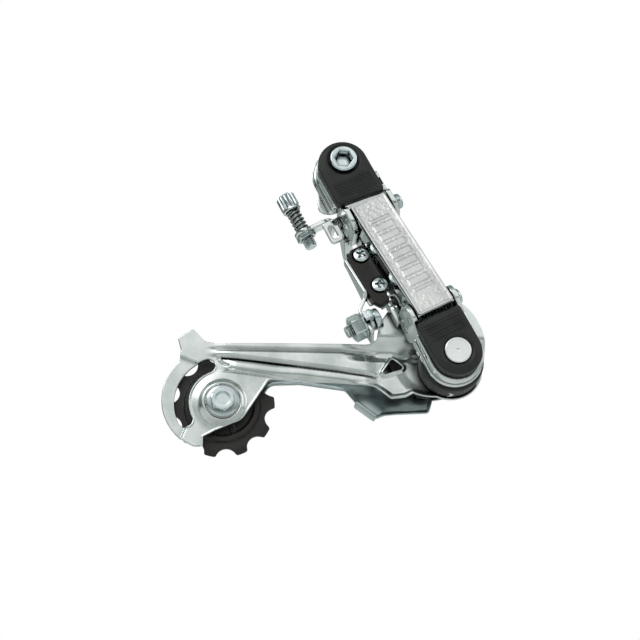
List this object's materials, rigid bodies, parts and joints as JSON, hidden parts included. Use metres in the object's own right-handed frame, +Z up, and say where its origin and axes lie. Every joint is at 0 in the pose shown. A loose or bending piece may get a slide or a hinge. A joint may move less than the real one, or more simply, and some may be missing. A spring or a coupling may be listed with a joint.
{
  "type": "bicycle rear derailleur",
  "caption": "Rear derailleur for a bicycle: chromed parallelogram linkage, sprung cage with toothed pulleys, black knuckle caps, limit screws, barrel adjuster and hanger bolt.",
  "frame": {"origin": "on the mounting bolt's axis, in the outer face of the frame's hanger", "axes": "+Y along the mounting bolt towards the wheel, +X towards the front of the bicycle, +Z up"},
  "size_m": [0.1221, 0.0414, 0.1231],
  "materials": {
    "chrome": "bright plated pressed steel",
    "black_plastic": "satin moulded",
    "zinc_steel": "bright zinc plated",
    "spring_steel": "drawn wire",
    "label_silver": "stippled foil",
    "pulley_plastic": "dull moulded"
  },
  "bodies": {
    "mount": {"mounting_bolt": "zinc_steel", "mounting_bush": "zinc_steel"},
    "upper_knuckle": {"upper_bracket": "chrome", "upper_cap": "black_plastic", "stop_plate": "chrome", "outer_pin_upper": "chrome", "inner_pin_upper": "chrome", "cable_stop_bracket": "chrome", "cable_stop_rivet": "chrome", "adjuster_spring": "spring_steel", "adjuster_nut": "zinc_steel"},
    "barrel": {"barrel_adjuster": "zinc_steel"},
    "outer_link": {"outer_link": "chrome", "link_label": "label_silver"},
    "inner_link": {"inner_link": "chrome", "limit_screw_block": "black_plastic", "anchor_bolt": "zinc_steel", "anchor_clamp": "chrome", "anchor_nut": "zinc_steel"},
    "high_screw": {"limit_screw_high": "zinc_steel"},
    "low_screw": {"limit_screw_low": "zinc_steel"},
    "lower_knuckle": {"lower_bracket": "chrome", "lower_cap": "black_plastic", "outer_pin_lower": "chrome", "inner_pin_lower": "chrome", "return_spring": "spring_steel", "spring_housing": "black_plastic", "cage_spring": "spring_steel"},
    "cage": {"cage_axle": "zinc_steel", "outer_cage_plate": "chrome", "inner_cage_plate": "chrome", "guide_bush": "zinc_steel", "tension_bush": "zinc_steel", "guide_dust_caps": "zinc_steel", "tension_dust_caps": "zinc_steel", "guide_bolt": "zinc_steel", "tension_bolt": "zinc_steel", "tension_nut": "zinc_steel"},
    "guide_wheel": {"guide_pulley": "pulley_plastic"},
    "tension_wheel": {"tension_pulley": "pulley_plastic"}
  },
  "joints": [
    {"name": "mount_pivot", "type": "hinge", "parent": "mount", "child": "upper_knuckle", "pos_m": [0, 0, 0], "axis": [0, 1, 0], "range_deg": [0, 40]},
    {"name": "linkage_swing", "type": "hinge", "parent": "upper_knuckle", "child": "outer_link", "pos_m": [0.01102, -0.0075, -0.01952], "axis": [0.8878, 0, 0.4602], "range_deg": [0, 40], "stiffness_Nm_per_rad": 0.15, "springref_deg": -34.38},
    {"name": "inner_link_swing", "type": "hinge", "parent": "upper_knuckle", "child": "inner_link", "pos_m": [0.01102, 0.0027, -0.01952], "axis": [0.8878, 0, 0.4602], "range_deg": [0, 40]},
    {"name": "lower_knuckle_swing", "type": "hinge", "parent": "outer_link", "child": "lower_knuckle", "pos_m": [0.03247, -0.01614, -0.0609], "axis": [0.8878, 0, 0.4602], "range_deg": [-40, 0]},
    {"name": "cage_pivot", "type": "hinge", "parent": "lower_knuckle", "child": "cage", "pos_m": [0.04091, 0, -0.07893], "axis": [0, -1, 0], "range_deg": [0, 95], "stiffness_Nm_per_rad": 0.12, "springref_deg": -85.94},
    {"name": "guide_pulley_spin", "type": "hinge", "parent": "cage", "child": "guide_wheel", "pos_m": [0.0343, 0.0058, -0.0699], "axis": [0, 1, 0], "continuous": true},
    {"name": "tension_pulley_spin", "type": "hinge", "parent": "cage", "child": "tension_wheel", "pos_m": [-0.0443, 0.0058, -0.0942], "axis": [0, 1, 0], "continuous": true},
    {"name": "barrel_turn", "type": "hinge", "parent": "upper_knuckle", "child": "barrel", "pos_m": [-0.01599, 0.004, -0.01955], "axis": [-0.4602, 0, 0.8878], "continuous": true},
    {"name": "high_screw_turn", "type": "hinge", "parent": "inner_link", "child": "high_screw", "pos_m": [0.00777, -0.00003, -0.03781], "axis": [0.0839, 0.9833, -0.1618], "continuous": true},
    {"name": "low_screw_turn", "type": "hinge", "parent": "inner_link", "child": "low_screw", "pos_m": [0.01447, -0.00273, -0.05073], "axis": [0.0839, 0.9833, -0.1618], "continuous": true}
  ],
  "couplings": [
    {"joint": "inner_link_swing", "follows": "linkage_swing", "ratio": 1},
    {"joint": "lower_knuckle_swing", "follows": "linkage_swing", "ratio": -1}
  ]
}
